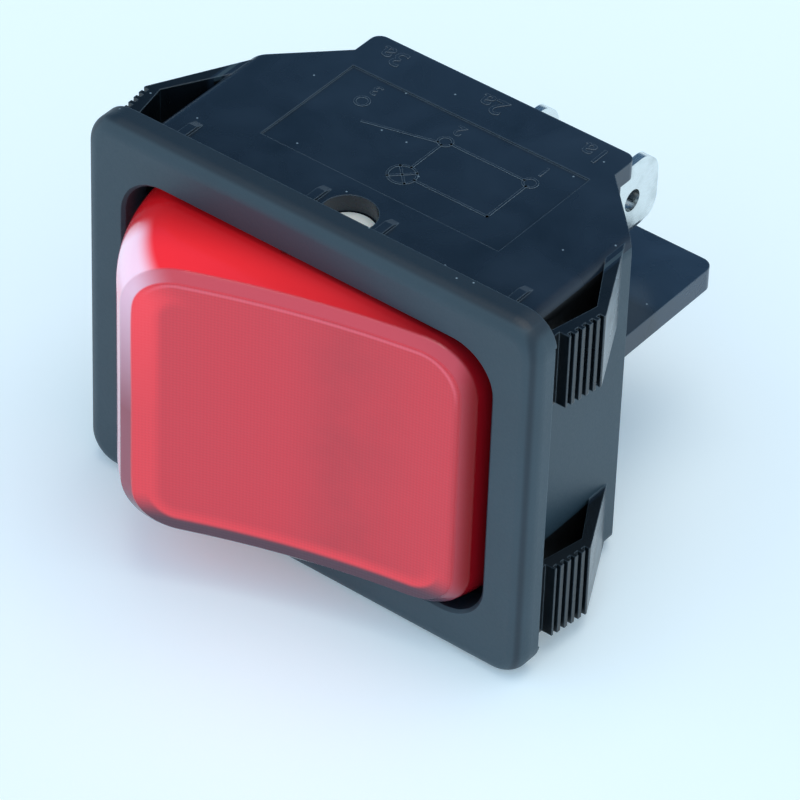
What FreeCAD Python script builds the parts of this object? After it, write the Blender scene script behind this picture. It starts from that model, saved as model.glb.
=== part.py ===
import FreeCAD, Part
import math
import os

# An illuminated rocker switch for a panel cut-out. It is modelled face up: X runs along the long
# side, Y along the short side and Z out of the front. The origin is the centre of the bezel's back
# face, where the switch seats on the panel. Each piece is turned when it is written, so that the
# front looks along -Y and the long side is level, as in an upright panel. All sizes are in mm.
# The rocker comes first, because the opening, the body and the bezel are sized round it.

# Rocker
pivot_depth = 2.05
pivot_boss_r = 1.62
pivot_play = 0.08
rest_tilt = 16.0
rocker_reach = 12.95
rocker_width = 19.0
rocker_corner_angle = 53.0
rocker_dish = 0.85
rocker_corner_r = 3.2
rocker_edge = 0.6
rocker_skirt_depth = 3.0
lens_wall = 1.2
stop_gap = 0.12

# Opening, body and bezel
end_gap = 0.12
side_gap = 0.2
opening_corner_r = 2.8
opening_edge = 0.2
end_wall = 0.68
side_wall = 1.25
bezel_lip_end = 2.25
bezel_lip_side = 1.75
bezel_height = 1.9
bezel_corner_r = 2.1
bezel_edge_r = 1.0
relief_depth = 0.15
body_depth = 16.6
body_corner_r = 0.8
taper_depth = 4.45
rear_block = 2.15
stop_ledge = 1.8
chamber_wall = 1.1
partition_thickness = 1.5
barrier_length = 22.6
barrier_beyond_tip = 1.0
barrier_root = 2.0
barrier_corner_r = 0.8
rear_corner_r = 0.7

# Pads round the pivot holes
pad_length = 5.6
pad_gap = 0.25
pad_bite = 0.3
pad_height = 0.1
pad_depth = 5.2
pad_play = 0.2
pad_corner_r = 0.4
notch_corner = 0.8

# Marks on the long sides
label_length = 16.9
label_top_depth = 4.7
label_bottom_depth = 13.2
label_sink = 0.12
rib_width = 0.58
rib_height = 0.2
rib_depth = 3.2
rib_slope = 0.6
rib_places = (2.4, 11.7)

# Snap arms at the short sides
arm_inner_y = 5.9
arm_outer_y = 10.9
arm_root_low_depth = 9.9
arm_root_high_depth = 8.1
arm_knee_out = 2.6
arm_knee_depth = 4.0
arm_tip_out = 2.2
arm_tip_depth = 0.4
arm_tip_slope = 0.3
arm_thickness = 0.85
arm_teeth = 5
arm_tooth_depth = 0.35
arm_tooth_gap_share = 0.5
arm_lip_depth = 1.2
arm_lip_in = 0.7
arm_lip_thickness = 0.5

# Carrier inside the lens
carrier_gap = 0.05
plate_top_depth = 0.9
plate_thickness = 1.0
plate_end_gap = 1.25
plate_corner = 1.9
ear_thickness = 1.1
ear_r = 2.6
boss_reach = 1.3
post_half = 1.9
bore_r = 1.25
post_bottom_depth = 7.3
post_top_height = 0.6
post_cap = 0.7
wire_hole_half = 0.35

# Lamp
lamp_gap = 0.49
lamp_length = 10.4
lamp_glass = 0.3
lamp_tip = 1.5
lamp_tip_r = 0.9
lamp_foot = 0.9
lamp_lift = 0.3
cradle_place = 3.6
cradle_thickness = 0.8
cradle_wall = 0.6
electrode_share = 0.24
electrode_place_share = 0.4
electrode_length = 6.2
wire_r = 0.22
wire_sides = 6
wire_hole_play = 0.03
wire_bend_r = 0.6
wire_foot = 0.3
wire_turn = 2.1
resistor_r = 0.9
resistor_length = 3.0
resistor_edge = 0.3

# Plungers and their springs
wall_to_pole = 4.1
plunger_r = 1.17
plunger_top_depth = 4.0
plunger_tip_r = 0.4
plunger_tip_reach = 8.2
plunger_point = 1.2
spring_wire_r = 0.16
spring_r = 1.0
spring_turns = 5
spring_sides = 12
spring_gap = 0.02

# Contact arms and contacts
arm_sheet = 0.55
seesaw_angle = 11.0
seesaw_tilt = 8.0
seesaw_edge_r = 0.3
seesaw_width = 4.2
seesaw_waist = 2.6
seesaw_notch = 1.2
seesaw_corner = 0.6
seesaw_stub = 4.2
seesaw_overhang = 1.5
plunger_gap = 0.17
contact_inset = 1.6
contact_r = 0.9
contact_height = 0.5
contact_shank_r = 0.5
contact_back = 0.2
contact_play = 0.02
closed_gap = 0.08

# Terminals
terminal_pitch = 7.15
rear_margin = 2.15
base_recess = 1.5
base_thickness = 1.0
tab_width = 4.8
tab_thickness = 0.8
tab_reach = 6.4
tab_tip_r = 1.6
tab_coin = 0.15
tab_coin_width = 0.4
tab_coin_length = 2.7
tab_hole_r = 0.72
tab_hole_place = 2.5
slot_play = 0.05
shoulder_width = 6.0
shoulder_height = 0.9
fork_height = 0.8
fork_play = 0.15
edge_play = 0.06
shelf_reach = 1.35
shelf_bend_r = 0.3

# How far a cut runs past the face that it opens
overshoot = 1.0

V = FreeCAD.Vector
X_AXIS = V(1, 0, 0)
Y_AXIS = V(0, 1, 0)
Z_AXIS = V(0, 0, 1)

half_opening = rocker_reach + end_gap
half_opening_width = rocker_width / 2 + side_gap
half_body = half_opening + end_wall
half_body_width = half_opening_width + side_wall
half_bezel = half_body + bezel_lip_end
half_bezel_width = half_body_width + bezel_lip_side
half_rear = terminal_pitch + rear_margin
taper_end = body_depth - rear_block
shoulder_depth = taper_end - taper_depth
taper_slope = taper_depth / (half_body - half_rear)
pivot_z = -pivot_depth
pivot = V(0, 0, pivot_z)
base_depth = body_depth - base_recess
floor_depth = base_depth - base_thickness
pole_y = half_opening_width - wall_to_pole
tab_tip_depth = base_depth + tab_reach
tab_hole_depth = tab_tip_depth - tab_hole_place
barrier_depth = tab_tip_depth + barrier_beyond_tip
carrier_half_width = rocker_width / 2 - lens_wall - carrier_gap
pad_face_y = carrier_half_width + pad_gap
pivot_boss_y = pad_face_y + boss_reach
contact_place = terminal_pitch - contact_inset

# The lamp fills the height between the carrier's plate and the lens over the middle of its dish.
dish_z = pivot_z + rocker_reach * math.cos(math.radians(rocker_corner_angle)) - rocker_dish
lamp_r = (dish_z - lens_wall - lamp_gap + plate_top_depth - lamp_lift) / 2
electrode_r = lamp_r * electrode_share
electrode_y = lamp_r * electrode_place_share

# The top of each seesaw lies plunger_gap under the plunger's lowest reach.
seesaw_axis_z = pivot_z - plunger_tip_reach - plunger_gap - (arm_sheet - seesaw_edge_r)
closed_slope = math.radians(seesaw_angle - seesaw_tilt)
fixed_contact_top_z = (seesaw_axis_z - seesaw_edge_r / math.cos(closed_slope)
                       + contact_place * math.tan(closed_slope) - contact_height - closed_gap)
shelf_top_z = fixed_contact_top_z - contact_height


def block(x0, x1, y0, y1, z0, z1):
    return Part.makeBox(x1 - x0, y1 - y0, z1 - z0, V(x0, y0, z0))


def rod(radius, start, end):
    way = end.sub(start)
    return Part.makeCylinder(radius, way.Length, start, way)


def outline(points):
    return Part.makePolygon([V(*p) for p in points] + [V(*points[0])])


def side_prism(points, y0, y1):
    """Extrude an outline given in X and Z from y0 to y1."""
    face = Part.Face(outline([(x, y0, z) for x, z in points]))
    return face.extrude(V(0, y1 - y0, 0))


def edges_along(shape, axis):
    found = []
    for edge in shape.Edges:
        way = edge.Vertexes[-1].Point.sub(edge.Vertexes[0].Point)
        if way.Length > 1e-6 and abs(abs(way.normalize().dot(axis)) - 1) < 1e-6:
            found.append(edge)
    return found


def rounded_plate(half_length, half_width, corner_r, z0, z1):
    plate = block(-half_length, half_length, -half_width, half_width, z0, z1)
    return plate.makeFillet(corner_r, edges_along(plate, Z_AXIS))


def edges_at_height(shape, z):
    return [e for e in shape.Edges if abs(e.BoundBox.ZMin - z) < 1e-6 and abs(e.BoundBox.ZMax - z) < 1e-6]


def make_bezel():
    """Frame that seats on the panel by its long sides, and stands just clear of it at the arms."""
    bezel = rounded_plate(half_bezel, half_bezel_width, bezel_corner_r, 0, bezel_height)
    bezel = bezel.makeFillet(bezel_edge_r, edges_at_height(bezel, bezel_height))
    for side in (-1, 1):
        x0, x1 = sorted((side * half_body, side * half_bezel))
        bezel = bezel.cut(block(x0, x1, -arm_outer_y, arm_outer_y, 0, relief_depth))
    return bezel


def make_body():
    profile = [(-half_body, 0), (-half_body, -shoulder_depth), (-half_rear, -taper_end),
               (-half_rear, -body_depth), (half_rear, -body_depth), (half_rear, -taper_end),
               (half_body, -shoulder_depth), (half_body, 0)]
    core = side_prism(profile, -half_body_width, half_body_width)
    rear = [e for e in edges_along(core, Y_AXIS) if abs(e.BoundBox.ZMax + body_depth) < 1e-6]
    core = core.makeFillet(rear_corner_r, rear)
    return core.common(rounded_plate(half_body, half_body_width, body_corner_r, -body_depth, 0))


def snap_arm_profile():
    """Arm of the right end: from its root out to the knee, then along the teeth to a lip set further in."""
    root = half_body - arm_thickness / 2
    knee, tip = half_body + arm_knee_out, half_body + arm_tip_out
    points = [(root, -arm_root_low_depth), (knee, -arm_knee_depth)]
    rise = (arm_knee_depth - arm_lip_depth) / arm_teeth
    lean = (knee - tip) / arm_teeth
    edge = rise * (1 - arm_tooth_gap_share) / 2
    for i in range(arm_teeth):
        x, z = knee - lean * i, -arm_knee_depth + rise * i
        points.append((x, z + edge))
        points.append((x - arm_tooth_depth, z + edge))
        points.append((x - arm_tooth_depth, z + rise - edge))
        points.append((x - lean, z + rise - edge))
    points.append((tip, -arm_lip_depth))
    points.append((tip - arm_lip_in, -arm_lip_depth))
    points.append((tip - arm_lip_in, -arm_tip_depth))
    points.append((tip - arm_lip_in - arm_lip_thickness, -arm_tip_depth - arm_tip_slope))
    points.append((knee - arm_thickness, -arm_knee_depth - arm_tip_slope))
    points.append((root, -arm_root_high_depth))
    return points


def make_snap_arms():
    right = side_prism(snap_arm_profile(), arm_inner_y, arm_outer_y)
    left = right.mirror(V(0, 0, 0), X_AXIS)
    arms = [right, left]
    return arms + [arm.mirror(V(0, 0, 0), Y_AXIS) for arm in arms]


def make_barrier():
    half = barrier_length / 2
    plate = block(-half, half, -partition_thickness / 2, partition_thickness / 2,
                  -barrier_depth, -shoulder_depth - barrier_root)
    ends = [e for e in edges_along(plate, Y_AXIS) if abs(e.BoundBox.ZMax + barrier_depth) < 1e-6]
    return plate.makeFillet(barrier_corner_r, ends)


def make_ribs():
    ribs = []
    for side in (-1, 1):
        wall = side * half_body_width
        for place in rib_places:
            for x in (-place, place):
                start, top = x - rib_width / 2, wall + side * rib_height
                points = [(start, wall, 0), (start, top, 0),
                          (start, top, rib_slope - rib_depth), (start, wall, -rib_depth)]
                face = Part.Face(outline(points))
                ribs.append(face.extrude(V(rib_width, 0, 0)))
    return ribs


def rocker_stop_z():
    """Height of the ledge that the skirt's end comes down to."""
    tilt = math.radians(rest_tilt)
    drop = pivot_depth - rocker_skirt_depth
    across = math.sqrt(rocker_reach ** 2 - drop ** 2)
    return pivot_z + drop * math.cos(tilt) - across * math.sin(tilt) - stop_gap


def make_cavity():
    """The space that the rocker swings in and, under its ledges, one contact chamber for each pole."""
    ledge_z = rocker_stop_z()
    space = rounded_plate(half_opening, half_opening_width, opening_corner_r, ledge_z, bezel_height)
    half = half_opening - stop_ledge
    low_half = half_rear - chamber_wall
    inner = shoulder_depth - chamber_wall * math.hypot(1, taper_slope)
    high_z = -inner - (half_body - half) * taper_slope
    low_z = -inner - (half_body - low_half) * taper_slope
    profile = [(-half, ledge_z), (-half, high_z), (-low_half, low_z), (-low_half, -floor_depth),
               (low_half, -floor_depth), (low_half, low_z), (half, high_z), (half, ledge_z)]
    chamber = side_prism(profile, partition_thickness / 2, half_opening_width)
    return [space, chamber, chamber.mirror(V(0, 0, 0), Y_AXIS)]


def make_pads():
    """Thicker wall round each pivot hole."""
    half = pad_length / 2
    pad = block(-half, half, pad_face_y, half_opening_width + pad_bite, -pad_depth, pad_height)
    pad = pad.makeFillet(pad_corner_r, edges_along(pad, Y_AXIS))
    return [pad, pad.mirror(V(0, 0, 0), Y_AXIS)]


def make_base_cuts():
    """Behind the base, a space open at both ends for the blades, and the slots that they pass through."""
    pocket = block(-half_body, half_body, partition_thickness / 2, half_opening_width,
                   -body_depth, -base_depth)
    cuts = [pocket]
    for x in (0, terminal_pitch):
        reach_x = tab_thickness / 2 + slot_play
        reach_y = tab_width / 2 + slot_play
        cuts.append(block(x - reach_x, x + reach_x, pole_y - reach_y, pole_y + reach_y,
                          -base_depth, -floor_depth))
    return cuts + [cut.mirror(V(0, 0, 0), Y_AXIS) for cut in cuts]


def make_label_fields():
    field = block(-label_length / 2, label_length / 2, half_body_width - label_sink, half_body_width + overshoot,
                  -label_bottom_depth, -label_top_depth)
    return [field, field.mirror(V(0, 0, 0), Y_AXIS)]


def make_housing():
    shell = make_bezel().fuse([make_body(), make_barrier()] + make_snap_arms() + make_ribs())
    shell = shell.cut(make_cavity())
    shell = shell.fuse(make_pads())
    out = half_body_width + overshoot
    hole = rod(pivot_boss_r + pivot_play, V(0, -out, pivot_z), V(0, out, pivot_z))
    shell = shell.cut([hole] + make_base_cuts() + make_label_fields())
    shell = shell.removeSplitter()
    rim = [e for e in edges_at_height(shell, bezel_height)
           if max(e.BoundBox.XMax, -e.BoundBox.XMin) < half_opening + opening_edge]
    return shell.makeChamfer(opening_edge, rim)


def rocker_block(offset, bottom_z):
    """The rocker's form, set in by a wall if need be: two end arcs about the pivot and a dished top."""
    reach = rocker_reach - offset
    angle = math.radians(rocker_corner_angle)
    corner_x = rocker_reach * math.sin(angle)
    dish_r = (corner_x ** 2 + rocker_dish ** 2) / (2 * rocker_dish)
    dish_up = rocker_reach * math.cos(angle) - rocker_dish + dish_r
    top_r = dish_r + offset
    top_h = (reach ** 2 - top_r ** 2 + dish_up ** 2) / (2 * dish_up)
    top_x = math.sqrt(reach ** 2 - top_h ** 2)
    low_h = bottom_z - pivot_z
    low_x = math.sqrt(reach ** 2 - low_h ** 2)
    y = -(rocker_width / 2 - offset)
    mid = (math.atan2(low_h, low_x) + math.atan2(top_h, top_x)) / 2
    mid_x, mid_z = reach * math.cos(mid), pivot_z + reach * math.sin(mid)
    low_right, low_left = V(low_x, y, bottom_z), V(-low_x, y, bottom_z)
    top_right, top_left = V(top_x, y, pivot_z + top_h), V(-top_x, y, pivot_z + top_h)
    edges = [Part.Arc(low_right, V(mid_x, y, mid_z), top_right).toShape(),
             Part.Arc(top_right, V(0, y, pivot_z + dish_up - top_r), top_left).toShape(),
             Part.Arc(top_left, V(-mid_x, y, mid_z), low_left).toShape(),
             Part.LineSegment(low_left, low_right).toShape()]
    solid = Part.Face(Part.Wire(edges)).extrude(V(0, -2 * y, 0))
    ends = [e for e in solid.Edges if hasattr(e.Curve, "Radius") and abs(e.Curve.Radius - reach) < 1e-4]
    if offset > 0:
        return solid.makeChamfer(offset, ends)
    solid = solid.makeFillet(rocker_corner_r, ends)
    top = [f for f in solid.Faces if hasattr(f.Surface, "Radius") and abs(f.Surface.Radius - top_r) < 1e-3]
    return solid.makeChamfer(rocker_edge, top[0].OuterWire.Edges)


def tilted(shape):
    """Turn a piece of the rocker from its middle position to its position of rest."""
    turned = shape.copy()
    turned.rotate(pivot, Y_AXIS, rest_tilt)
    return turned


def pad_sweep():
    """Half-length and height of the notch that clears the pad over the whole swing."""
    tilt = math.radians(rest_tilt)
    half, up = pad_length / 2, pad_height - pivot_z
    length = half * math.cos(tilt) + up * math.sin(tilt) + pad_play
    away = math.hypot(half, up)
    height = away * math.cos(max(math.atan2(half, up) - tilt, 0)) + pad_play
    return length, pivot_z + height


def make_lens():
    shell = rocker_block(0, -rocker_skirt_depth)
    shell = shell.cut(rocker_block(lens_wall, -rocker_skirt_depth - overshoot))
    half, top = pad_sweep()
    notch = block(-half, half, -rocker_width, rocker_width, -rocker_skirt_depth - overshoot, top)
    upper = [e for e in edges_along(notch, Y_AXIS) if abs(e.BoundBox.ZMax - top) < 1e-6]
    notch = notch.makeChamfer(notch_corner, upper)
    return shell.cut(notch)


def lamp_axis_z():
    return -plate_top_depth + lamp_lift + lamp_r


def spring_top_z():
    return post_top_height - post_cap


def make_carrier():
    """Plate that closes the lens, with a pivot boss and a plunger post at each side, and a lamp cradle."""
    top = -plate_top_depth
    half = rocker_reach - lens_wall - plate_end_gap
    plate = block(-half, half, -carrier_half_width, carrier_half_width, top - plate_thickness, top)
    plate = plate.makeChamfer(plate_corner, edges_along(plate, Z_AXIS))
    pieces, cuts = [], []
    for side in (-1, 1):
        y = side * pole_y
        back = V(0, side * (carrier_half_width - ear_thickness), pivot_z)
        pieces.append(rod(ear_r, back, V(0, side * carrier_half_width, pivot_z)))
        pieces.append(rod(pivot_boss_r, back, V(0, side * pivot_boss_y, pivot_z)))
        pieces.append(block(-post_half, post_half, y - post_half, y + post_half,
                            -post_bottom_depth, post_top_height))
        x0, x1 = sorted((side * cradle_place, side * (cradle_place + cradle_thickness)))
        wide = lamp_r + cradle_wall
        pieces.append(block(x0, x1, -wide, wide, top, top + lamp_lift + lamp_r))
        cuts.append(rod(bore_r, V(0, y, -post_bottom_depth), V(0, y, spring_top_z())))
        cuts.append(block(-wire_hole_half, wire_hole_half, y - wire_hole_half, y + wire_hole_half,
                          spring_top_z(), post_top_height))
    cuts.append(rod(lamp_r, V(-half, 0, lamp_axis_z()), V(half, 0, lamp_axis_z())))
    cuts.append(block(-cradle_place, cradle_place, -lamp_r, lamp_r, top - plate_thickness, top))
    return plate.fuse(pieces).cut(cuts).removeSplitter()


def make_lamp():
    """Glass tube with a tapered tip at the right and a flat foot that the two wires leave by."""
    z = lamp_axis_z()
    half = lamp_length / 2
    shoulder = half - lamp_tip
    tube = rod(lamp_r, V(-half, 0, z), V(shoulder, 0, z))
    tube = tube.fuse(Part.makeCone(lamp_r, lamp_tip_r, lamp_tip, V(shoulder, 0, z), X_AXIS))
    inside = rod(lamp_r - lamp_glass, V(lamp_foot - half, 0, z), V(shoulder, 0, z))
    holes = []
    for side in (-1, 1):
        y = side * electrode_y
        holes.append(rod(wire_r + wire_hole_play, V(-half, y, z), V(lamp_foot + wire_foot - half, y, z)))
    return tube.cut([inside] + holes).removeSplitter()


def bent_wire(points, radius, bend_r):
    """Thin wire: straight runs with a quarter bend at each corner, drawn with a few flat sides."""
    start = points[0]
    way = points[1].sub(start)
    ring = Part.Face(Part.makePolygon(Part.makeCircle(radius, start, way).discretize(wire_sides + 1)))
    pieces = []
    for i in range(1, len(points) - 1):
        into = points[i].sub(points[i - 1]).normalize()
        out = points[i + 1].sub(points[i]).normalize()
        run = points[i].sub(into * bend_r).sub(start)
        pieces.append(ring.extrude(run))
        ring.translate(run)
        centre = start.add(run).add(out * bend_r)
        pieces.append(ring.revolve(centre, into.cross(out), 90))
        ring.rotate(centre, into.cross(out), 90)
        start = points[i].add(out * bend_r)
    pieces.append(ring.extrude(points[-1].sub(start)))
    return pieces[0].fuse(pieces[1:]).removeSplitter()


def wire_turn_x():
    return -lamp_length / 2 - wire_turn


def wire_route(side):
    """From the lamp's foot to the end of the row, across to the pole, and down into its spring."""
    z = lamp_axis_z()
    y0 = side * electrode_y
    y1 = side * pole_y
    start = V(lamp_foot + wire_foot - lamp_length / 2, y0, z)
    turn_x = wire_turn_x()
    return [start, V(turn_x, y0, z), V(turn_x, y1, z), V(0, y1, z), V(0, y1, spring_top_z())]


def resistor_ends():
    middle = (electrode_y + pole_y) / 2
    return middle - resistor_length / 2, middle + resistor_length / 2


def make_electrode(side):
    """A rod inside the lamp with its wire, which on the first pole ends at the resistor."""
    z = lamp_axis_z()
    y = side * electrode_y
    route = wire_route(side)
    if side > 0:
        route = route[:2] + [V(wire_turn_x(), resistor_ends()[0], z)]
    foot = route[0]
    post = rod(electrode_r, foot, V(foot.x + electrode_length, y, z))
    return bent_wire(route, wire_r, wire_bend_r).fuse(post).removeSplitter()


def make_resistor():
    z = lamp_axis_z()
    low, high = resistor_ends()
    body = rod(resistor_r, V(wire_turn_x(), low, z), V(wire_turn_x(), high, z))
    return body.makeChamfer(resistor_edge, [e for e in body.Edges if hasattr(e.Curve, "Radius")])


def make_resistor_lead():
    start = V(wire_turn_x(), resistor_ends()[1], lamp_axis_z())
    return bent_wire([start] + wire_route(1)[2:], wire_r, wire_bend_r)


def make_plunger(side):
    """Pin whose lower end narrows to the small flat that rides on the seesaw."""
    y = side * pole_y
    tip_z = pivot_z - plunger_tip_reach
    pin = rod(plunger_r, V(0, y, tip_z + plunger_point), V(0, y, -plunger_top_depth))
    point = Part.makeCone(plunger_tip_r, plunger_r, plunger_point, V(0, y, tip_z), Z_AXIS)
    return pin.fuse(point)


def make_spring(side):
    """Compression spring from the plunger's top to the end of its bore, each turn drawn with a few sides."""
    y = side * pole_y
    low = spring_wire_r + spring_gap - plunger_top_depth
    high = spring_top_z() - spring_wire_r - spring_gap
    coil_r = spring_r - spring_wire_r
    steps = spring_turns * spring_sides
    points = []
    for i in range(steps + 1):
        turn = 2 * math.pi * i / spring_sides
        points.append(V(coil_r * math.cos(turn), y + coil_r * math.sin(turn), low + (high - low) * i / steps))
    w = spring_wire_r
    section = outline([(coil_r + dx, y, low + dz) for dx, dz in ((w, 0), (0, w), (-w, 0), (0, -w))])
    return Part.makePolygon(points).makePipeShell([section], True, False, 1)


def wing_points(angle, length):
    """Lower and upper line of one wing of the seesaw, from its axis outwards."""
    a = math.radians(angle)
    way = (math.cos(a), math.sin(a))
    up = (-math.sin(a), math.cos(a))
    low, high = -seesaw_edge_r, arm_sheet - seesaw_edge_r
    near_low = (low * up[0], low * up[1])
    far_low = (near_low[0] + length * way[0], near_low[1] + length * way[1])
    far_high = (far_low[0] + arm_sheet * up[0], far_low[1] + arm_sheet * up[1])
    apex = (0, high / math.cos(a))
    return near_low, far_low, far_high, apex


def seesaw_turn(shape, side):
    """Move a seesaw piece from the middle position about the origin to its place and its tilt at rest."""
    shape.rotate(V(0, 0, 0), Y_AXIS, -seesaw_tilt)
    shape.translate(V(0, side * pole_y, seesaw_axis_z))
    return shape


def contact_along():
    return contact_place / math.cos(closed_slope)


def make_seesaw(side):
    y = -seesaw_width / 2
    near_low, far_low, far_high, apex = wing_points(seesaw_angle, contact_along() + seesaw_overhang)
    near_left, far_left, top_left, _ = wing_points(seesaw_angle, seesaw_stub)
    chain = [far_low, far_high, apex, (-top_left[0], top_left[1]), (-far_left[0], far_left[1])]
    corners = [V(x, y, z) for x, z in chain]
    left_foot = V(-near_left[0], y, near_left[1])
    right_foot = V(near_low[0], y, near_low[1])
    edges = [Part.LineSegment(a, b).toShape() for a, b in zip(corners, corners[1:])]
    edges.append(Part.LineSegment(corners[-1], left_foot).toShape())
    edges.append(Part.Arc(left_foot, V(0, y, -seesaw_edge_r), right_foot).toShape())
    edges.append(Part.LineSegment(right_foot, corners[0]).toShape())
    sheet = Part.Face(Part.Wire(edges)).extrude(V(0, seesaw_width, 0))
    length = contact_along() + seesaw_overhang
    plan = block(-seesaw_stub, length * math.cos(math.radians(seesaw_angle)), y, -y, y, -y)
    plan = plan.makeChamfer(seesaw_corner, edges_along(plan, Z_AXIS))
    sheet = sheet.common(plan)
    notch_x = seesaw_notch / 2
    cuts = [block(-notch_x, notch_x, seesaw_waist / 2, seesaw_width, -2, 2)]
    cuts.append(block(-notch_x, notch_x, -seesaw_width, -seesaw_waist / 2, -2, 2))
    hole = rod(contact_shank_r + contact_play, V(contact_along(), 0, -2), V(contact_along(), 0, 2))
    hole.rotate(V(0, 0, 0), Y_AXIS, -seesaw_angle)
    return seesaw_turn(sheet.cut(cuts + [hole]), side)


def rivet(sheet):
    """Contact rivet: the head's face looks down, the shank fills the hole of a sheet that starts at z = 0."""
    head = rod(contact_r, V(0, 0, -contact_height), V(0, 0, 0))
    return head.fuse(rod(contact_shank_r, V(0, 0, 0), V(0, 0, sheet + contact_back)))


def make_moving_contact(side):
    contact = rivet(arm_sheet)
    contact.translate(V(contact_along(), 0, -seesaw_edge_r))
    contact.rotate(V(0, 0, 0), Y_AXIS, -seesaw_angle)
    return seesaw_turn(contact, side)


def make_fixed_contact():
    contact = rivet(tab_thickness)
    contact.rotate(V(0, 0, 0), X_AXIS, 180)
    contact.translate(V(contact_place, pole_y, shelf_top_z))
    return contact


def tab_cuts():
    """Hole and coined long edges of a blade in its own frame, centred on x = 0 and y = 0."""
    half_x, half_y = tab_thickness / 2, tab_width / 2
    cuts = [rod(tab_hole_r, V(-tab_thickness, 0, -tab_hole_depth), V(tab_thickness, 0, -tab_hole_depth))]
    for sx in (-1, 1):
        for sy in (-1, 1):
            corner = (sx * half_x, sy * half_y, -tab_tip_depth)
            across = (sx * (half_x - tab_coin), sy * half_y, -tab_tip_depth)
            along = (sx * half_x, sy * (half_y - tab_coin_width), -tab_tip_depth)
            cuts.append(Part.Face(outline([corner, across, along])).extrude(V(0, 0, tab_coin_length)))
    return cuts


def blade_face(top_points):
    """Blade outline in Y and Z: rounded tip, long tab, shoulders on the base, then the given top."""
    half = tab_width / 2
    wide = shoulder_width / 2
    right = [(half, -tab_tip_depth), (half, -floor_depth),
             (wide, -floor_depth), (wide, -floor_depth + shoulder_height),
             (half, -floor_depth + shoulder_height)]
    left = [(-y, z) for y, z in reversed(right)]
    points = right + top_points + left
    x = -tab_thickness / 2
    blade = Part.Face(outline([(x, y, z) for y, z in points])).extrude(V(tab_thickness, 0, 0))
    tip = [e for e in edges_along(blade, X_AXIS) if abs(e.BoundBox.ZMax + tab_tip_depth) < 1e-6]
    return blade.makeFillet(tab_tip_r, tip)


def make_terminal_two(side):
    """Middle terminal: its top edge carries the seesaw between two prongs."""
    half = tab_width / 2
    rest_z = seesaw_axis_z - seesaw_edge_r - edge_play
    prong_z = seesaw_axis_z + fork_height
    inner = seesaw_waist / 2 + fork_play
    top = [(half, prong_z), (inner, prong_z), (inner, rest_z),
           (-inner, rest_z), (-inner, prong_z), (-half, prong_z)]
    blade = blade_face(top).cut(tab_cuts())
    blade.translate(V(0, side * pole_y, 0))
    return blade


def make_terminal_one():
    """End terminal: bent over inside into a shelf that carries the fixed contact."""
    half = tab_width / 2
    low_z = shelf_top_z - tab_thickness - shelf_bend_r
    blade = blade_face([(half, low_z), (-half, low_z)]).cut(tab_cuts())
    inner_r, outer_r = shelf_bend_r, shelf_bend_r + tab_thickness
    centre_x = -tab_thickness / 2 - inner_r
    diagonal = math.sqrt(0.5)
    shelf_end = contact_place - terminal_pitch - shelf_reach
    y = -half
    points = {"out_low": V(centre_x + outer_r, y, low_z), "in_low": V(centre_x + inner_r, y, low_z),
              "out_high": V(centre_x, y, shelf_top_z), "in_high": V(centre_x, y, shelf_top_z - tab_thickness),
              "end_high": V(shelf_end, y, shelf_top_z), "end_low": V(shelf_end, y, shelf_top_z - tab_thickness)}
    out_mid = V(centre_x + outer_r * diagonal, y, low_z + outer_r * diagonal)
    in_mid = V(centre_x + inner_r * diagonal, y, low_z + inner_r * diagonal)
    edges = [Part.LineSegment(points["in_low"], points["out_low"]).toShape(),
             Part.Arc(points["out_low"], out_mid, points["out_high"]).toShape(),
             Part.LineSegment(points["out_high"], points["end_high"]).toShape(),
             Part.LineSegment(points["end_high"], points["end_low"]).toShape(),
             Part.LineSegment(points["end_low"], points["in_high"]).toShape(),
             Part.Arc(points["in_high"], in_mid, points["in_low"]).toShape()]
    bend = Part.Face(Part.Wire(edges)).extrude(V(0, tab_width, 0))
    terminal = blade.fuse(bend)
    terminal.translate(V(terminal_pitch, pole_y, 0))
    hole = rod(contact_shank_r + contact_play, V(contact_place, pole_y, shelf_top_z - tab_thickness - overshoot),
               V(contact_place, pole_y, shelf_top_z + tab_thickness))
    return terminal.cut(hole).removeSplitter()


def write(name, shape):
    turned = shape.copy()
    turned.rotate(V(0, 0, 0), X_AXIS, 90)
    turned.exportStep("parts/" + name + ".step")
    print(name, "solids", len(turned.Solids), "valid", turned.isValid(), "volume", round(turned.Volume, 2))


def main():
    os.makedirs("parts", exist_ok=True)
    write("housing", make_housing())
    write("rocker_lens", tilted(make_lens()))
    write("rocker_carrier", tilted(make_carrier()))
    write("neon_lamp", tilted(make_lamp()))
    write("lamp_resistor", tilted(make_resistor()))
    write("resistor_lead", tilted(make_resistor_lead()))
    for name, side in (("a", 1), ("b", -1)):
        write("neon_electrode_" + name, tilted(make_electrode(side)))
        write("plunger_" + name, tilted(make_plunger(side)))
        write("plunger_spring_" + name, tilted(make_spring(side)))
        write("contact_arm_" + name, make_seesaw(side))
        write("moving_contact_" + name, make_moving_contact(side))
        write("terminal_2" + name, make_terminal_two(side))
    write("terminal_1a", make_terminal_one())
    write("fixed_contact_a", make_fixed_contact())


main()
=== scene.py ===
import bpy
import bmesh
import math
from mathutils import Matrix, Vector


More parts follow.
